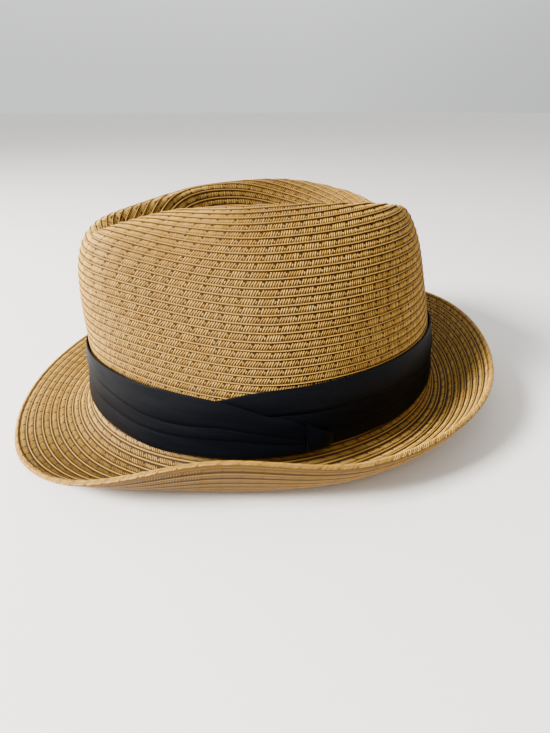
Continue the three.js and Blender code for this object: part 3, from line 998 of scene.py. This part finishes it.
def build_crown(straw):
    points, length, total = crown_lines(straw.around)
    count = round(total / straw.row_pitch)
    plain = range(1, CROWN_HIDDEN_ROWS)
    marks, heights, rows = row_marks(count, DENT_SEAM_HEIGHT, True, plain)
    inner_marks = np.linspace(0, count, count + 1)
    scaled = length * count / total
    outer, outs = sunk_grid(points, scaled, marks, straw.cord_height)
    inner, inner_outs = sunk_grid(points, scaled, inner_marks, STRAW_WALL + LINING_GAP)
    shape, inner_shape = outer.shape[:2], inner.shape[:2]
    arc = row_arc(outer, rows)
    inner_arc = arc[:, :1] + np.zeros(inner_shape)
    values = {
        "relief": [spread(heights, shape), spread(LINING_RELIEF, inner_shape)],
        "lift": [spread(1.0, shape), spread(0.0, inner_shape)],
        "out": [outs.reshape(-1, 3), inner_outs.reshape(-1, 3)],
    }
    uvs = np.concatenate([pairs(arc, marks), pairs(inner_arc, inner_marks)])
    braid_shell("crown_braid", outer, inner, values, uvs, straw, True, "crown")

    targets = np.arange(CROWN_HIDDEN_ROWS, count) + 1 - STRAND_ACROSS
    lift = STRAND_GROUND * straw.cord_height + STRAND_LIFT
    cloud = strand_points(outer, outs, marks, targets, straw, lift)
    material = strand_material(straw, straw.body_colour, straw.cord_colour)
    lay_strands("crown_strands", cloud, straw, straw.strand_lean, 11, material)


def bead_rings(tangent, normal, middle):
    """Rings of the rolled edge, from each face of the brim round to its outermost line."""
    over, under = [], []
    for k in range(EDGE_BEAD_STEPS, -1, -1):
        turn = k / EDGE_BEAD_STEPS * math.radians(EDGE_BEAD_TURN)
        ahead = tangent * math.cos(turn) * EDGE_BEAD_RADIUS
        side = normal * math.sin(turn) * EDGE_BEAD_RADIUS
        over.append(middle + ahead + side)
        under.append(middle + ahead - side)
    return np.stack(over, 1), np.stack(under, 1)


def build_brim(straw):
    a, s = np.meshgrid(
        ring_angles(straw.brim_around), np.linspace(1, 0, BRIM_STEPS), indexing="ij"
    )
    dense = brim_surface(a, s)
    length = lengths(dense, 1)
    flat_length = length[:, -1:] - EDGE_BEAD_RADIUS
    count = round(flat_length.mean() / straw.row_pitch)
    marks, heights, rows = row_marks(count, EDGE_ROW_HEIGHT)
    top = resample(dense, length * count / flat_length, marks)
    normals = -grid_normals(top, True)
    rise = BRIM_TOP_SHARE * straw.cord_height
    fall = BRIM_UNDER_SHARE * straw.cord_height
    face = top - normals * rise
    back = top - normals * (STRAW_WALL - fall)
    tangent = unit(np.gradient(top, axis=1))[:, -1]
    normal = normals[:, -1]
    middle = (top - normals * STRAW_WALL / 2)[:, -1]
    bead_top, bead_under = bead_rings(tangent, normal, middle)

    # The grids go up from the edge, so all of it is turned round.
    outer = np.concatenate([face, bead_top], 1)[:, ::-1]
    inner = np.concatenate([back, bead_under], 1)[:, ::-1]
    for grid in (outer, inner):
        grid[..., 2] = np.maximum(grid[..., 2], LEAST_HEIGHT - SHIFT[2])
    extra = EDGE_BEAD_STEPS + 1
    outs = np.concatenate([normals, np.repeat(normals[:, -1:], extra, 1)], 1)[:, ::-1]
    outs = outs.reshape(-1, 3)
    shape = outer.shape[:2]
    relief = spread(np.append(heights, np.full(extra, EDGE_RELIEF))[::-1], shape)
    lift = spread(np.append(np.ones(len(heights)), np.zeros(extra))[::-1], shape)
    # The underside reads the relief ramp, painted shade and straw tones, in a narrower span: flats
    # less dark, cords only just past the body tone. The same values lift its rows.
    values = {
        "relief": [relief, UNDERSIDE_LEAST + relief * UNDERSIDE_SHARE],
        "lift": [lift * BRIM_TOP_SHARE, lift * BRIM_UNDER_SHARE],
        "out": [outs, -outs],
    }
    mark = np.append(marks, count + np.linspace(*EDGE_MARKS, extra))[::-1]
    row = np.append(rows, np.full(extra, count))[::-1]
    uvs = np.tile(pairs(row_arc(outer, row), mark), (2, 1))
    braid_shell("brim_braid", outer, inner, values, uvs, straw, False, "brim")

    targets = np.arange(count) + STRAND_ACROSS
    golden = strand_material(straw, straw.body_colour, straw.cord_colour)
    # The strands under the brim are a darker copy, without the cord tone: painted shade under the
    # brim.
    plain = strand_material(straw, straw.body_colour, straw.body_colour)
    lean = straw.strand_lean
    lift = STRAND_GROUND * rise + STRAND_LIFT * BRIM_TOP_LIFT
    cloud = strand_points(face, normals, marks, targets, straw, lift)
    lay_strands("brim_strands", cloud, straw, -lean, 23, golden)
    lift = STRAND_GROUND * fall + STRAND_LIFT * BRIM_UNDER_LIFT
    cloud = strand_points(back, -normals, marks, targets, straw, lift)
    lay_strands("brim_under_strands", cloud, straw, lean, 37, plain)
    for name, turn, lean, seed in zip(*EDGE_COURSES.values()):
        t = math.radians(turn)
        out = (tangent * math.cos(t) + normal * math.sin(t))[:, None]
        line = middle[:, None] + out * (EDGE_BEAD_RADIUS - EDGE_STRAND_SINK)
        cloud = strand_points(line, out, np.zeros(1), [0.0], straw, EDGE_STRAND_LIFT)
        lay_strands(name, cloud, straw, lean, seed, golden)


# --------------------------------------------------------------------------------------------------
# Hatband
# --------------------------------------------------------------------------------------------------


def pleat_lift(above, top, angle, band):
    """How far the pleated satin stands out at a height above its lower edge: each pleat swells,
    most of all towards its lower side, and sinks into a narrow crease where the next begins."""
    lift = np.zeros_like(above)
    creases = [smooth(CREASES["angle"], CREASES[name], angle) for name in ("low", "high")]
    edges = [np.zeros_like(above), *creases, top]
    for low, high in zip(edges[:-1], edges[1:]):
        u = np.clip((above - low) / np.maximum(high - low, 1.0), 0, 1)
        inside = (above >= low) & (above <= high)
        near_low = 1 - np.exp(-(above - low) / CREASE_WIDTH)
        near_high = 1 - np.exp(-(high - above) / (CREASE_SOFT_SIDE * CREASE_WIDTH))
        swell = near_low * near_high * (1 - PLEAT_SLOPE * u)
        lift = np.where(inside, np.maximum(lift, swell), lift)
    turn = np.radians(angle)
    for size, waves, slant in zip(*WRINKLES.values()):
        lift = lift + size * np.sin(turn * waves + above * slant)
    return band.pleat_depth * lift


def satin_sheet(name, inner, uv, band, node):
    """Makes a strip of satin from its inner face, with its thickness."""
    outer = inner + grid_normals(inner, False) * band.thickness
    points = np.concatenate([outer.reshape(-1, 3), inner.reshape(-1, 3)])
    columns, rows = inner.shape[:2]
    obj = new_mesh(name, points, shell_faces(columns, rows, rows, False))
    add_uv(obj.data, np.tile(np.stack(uv, -1).reshape(-1, 2), (2, 1)))
    shade_smooth(obj)
    place(obj, satin_material(band), node)
    return obj


def build_hatband(band):
    columns, rows = BAND_STEPS
    angles = np.linspace(BAND_START_ANGLE, BAND_END_ANGLE, columns)
    a, u = np.meshgrid(angles, np.linspace(0, 1, rows), indexing="ij")
    top = BAND_HEIGHT * smooth(BAND_TOP["angle"], BAND_TOP["share"], a)
    stand_off = PIECE_GAP + BAND_STAND_OFF + OVERLAP_LIFT * smoothstep(a, *OVERLAP_RAMP)
    lift = pleat_lift(u * top, top, a, band)
    inner = beside_wall(a, BAND_CLEARANCE + u * top, stand_off + lift)
    uv = (lengths(inner, 0), u * BAND_HEIGHT)
    obj = satin_sheet("hatband_satin", inner, uv, band, "hatband")


def build_knot(band):
    columns, rows = KNOT_STEPS
    g, u = np.meshgrid(np.linspace(0, 1, columns), np.linspace(0, 1, rows), indexing="ij")
    angle = np.interp(g, (0, 1), KNOT["angle"])
    height = np.interp(g, (0, 1), KNOT["height"])
    proud, flush = KNOT["stand_off"]
    stand_off = proud - (proud - flush) * smoothstep(g, 0.5, 1.0)
    ends = np.sin(np.pi * np.clip(g + 0.12, 0, 1)) ** 0.5
    swell = KNOT_SWELL * np.sin(np.pi * u) ** 0.7 * ends
    inner = beside_wall(angle, BAND_CLEARANCE + KNOT_RISE + u * height, stand_off + swell)
    uv = (g * KNOT_CLOTH[0], u * KNOT_CLOTH[1])
    obj = satin_sheet("hatband_knot_satin", inner, uv, band, "hatband_knot")


# --------------------------------------------------------------------------------------------------
# Stage
# --------------------------------------------------------------------------------------------------


def stand(name, data, spot=(0.0, 0.0, 0.0), aim=None):
    """Stands an object in the scene, turned to look at its aim where it has one."""
    obj = bpy.data.objects.new(name, data)
    if aim is not None:
        obj.location = spot
        obj.rotation_euler = (Vector(aim) - Vector(spot)).to_track_quat("-Z", "Y").to_euler()
    bpy.context.scene.collection.objects.link(obj)
    return obj


def build_stage(stage):
    mesh = bpy.data.meshes.new("floor")
    corners = [(FLOOR_HALF * x, FLOOR_HALF * y) for x, y in ((-1, -1), (1, -1), (1, 1), (-1, 1))]
    mesh.from_pydata([(x, y, FLOOR_HEIGHT) for x, y in corners], [], [(0, 1, 2, 3)])
    mesh.materials.append(floor_material(stage))
    stand("floor", mesh)
    build_world(stage)
    for name, spot, size, power, colour in zip(*LIGHTS.values()):
        light = bpy.data.lights.new(name, "AREA")
        light.size = size
        light.energy = power
        light.color = colour
        stand(name, light, spot, LIGHT_AIM)

    aim = Vector((np.array(CAMERA_AIM) + SHIFT) * MM)
    az, el = math.radians(stage.azimuth), math.radians(stage.elevation)
    back = Vector((math.sin(az) * math.cos(el), -math.cos(az) * math.cos(el), math.sin(el)))
    camera = bpy.data.cameras.new("camera")
    camera.lens = stage.lens
    camera.sensor_width = SENSOR_WIDTH
    spot = aim + back * stage.distance * MM
    bpy.context.scene.camera = stand("camera", camera, spot, aim)


def build_world(stage):
    """Soft daylight all round, brightest before the hat, dimmest behind it and hazy low down."""
    world = bpy.data.worlds.new("soft_daylight")
    bpy.context.scene.world = world
    world.use_nodes = True
    tree = world.node_tree
    tree.nodes.clear()
    way = add_node(tree, "ShaderNodeTexCoord").outputs["Generated"]
    towards = {0: way, 1: SKY_AXIS}
    towards = add_node(tree, "ShaderNodeVectorMath", towards, operation="DOT_PRODUCT")
    span = dict(zip(("From Min", "From Max"), SKY_SPAN))
    span.update({"To Min": stage.bright_sky, "To Max": stage.dim_sky})
    round_sky = add_node(tree, SPAN, {"Value": towards.outputs["Value"], **span})
    upward = add_node(tree, "ShaderNodeSeparateXYZ", {0: way}).outputs["Z"]
    haze = add_node(tree, SPAN, {"Value": upward, **HAZE}, interpolation_type="SMOOTHSTEP")
    strength = add_node(tree, MATH, {0: round_sky, 1: haze}, operation="MULTIPLY")
    sky = {"Color": SKY_COLOUR, "Strength": strength}
    sky = add_node(tree, "ShaderNodeBackground", sky)
    add_node(tree, "ShaderNodeOutputWorld", {"Surface": sky})


# --------------------------------------------------------------------------------------------------
# Operators, panel and registration
# --------------------------------------------------------------------------------------------------


class HAT_OT_stage(bpy.types.Operator):
    """Adds the floor, the lights and the camera"""

    bl_idname = "hat.stage"
    bl_label = "Stage"

    def execute(self, context):
        build_stage(in_millimetres(context.scene.hat_stage))
        return {"FINISHED"}


class HAT_OT_crown(bpy.types.Operator):
    """Makes the crown's braid and its strands"""

    bl_idname = "hat.crown"
    bl_label = "Crown"

    def execute(self, context):
        build_crown(in_millimetres(context.scene.hat_straw))
        return {"FINISHED"}


class HAT_OT_brim(bpy.types.Operator):
    """Makes the brim's braid, its rolled edge and its strands"""

    bl_idname = "hat.brim"
    bl_label = "Brim"

    def execute(self, context):
        build_brim(in_millimetres(context.scene.hat_straw))
        return {"FINISHED"}


class HAT_OT_hatband(bpy.types.Operator):
    """Makes the pleated satin band and its knot"""

    bl_idname = "hat.hatband"
    bl_label = "Hatband"

    def execute(self, context):
        settings = context.scene.hat_band
        band = in_millimetres(settings)
        build_hatband(band)
        build_knot(band)
        return {"FINISHED"}


class HAT_PT_panel(bpy.types.Panel):
    """Lists the hat's settings and pieces"""

    bl_idname = "HAT_PT_panel"
    bl_label = "Straw trilby hat"
    bl_space_type = "VIEW_3D"
    bl_region_type = "UI"
    bl_category = "Hat"

    def draw(self, context):
        for key, group in SETTINGS.items():
            for name in group.__annotations__:
                self.layout.prop(getattr(context.scene, key), name)
        for operator in OPERATORS:
            self.layout.operator(operator.bl_idname)


SETTINGS = {"hat_straw": HAT_PG_straw, "hat_band": HAT_PG_band, "hat_stage": HAT_PG_stage}
OPERATORS = (HAT_OT_stage, HAT_OT_crown, HAT_OT_brim, HAT_OT_hatband)


def register():
    for cls in (*SETTINGS.values(), *OPERATORS, HAT_PT_panel):
        bpy.utils.register_class(cls)
    for name, group in SETTINGS.items():
        setattr(bpy.types.Scene, name, PointerProperty(type=group))


def unregister():
    for name in SETTINGS:
        delattr(bpy.types.Scene, name)
    for cls in (HAT_PT_panel, *reversed(OPERATORS), *reversed(SETTINGS.values())):
        bpy.utils.unregister_class(cls)


def main():
    register()
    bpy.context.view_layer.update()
    bpy.ops.hat.stage()
    bpy.ops.hat.crown()
    bpy.ops.hat.brim()
    bpy.ops.hat.hatband()


if __name__ == "__main__":
    main()
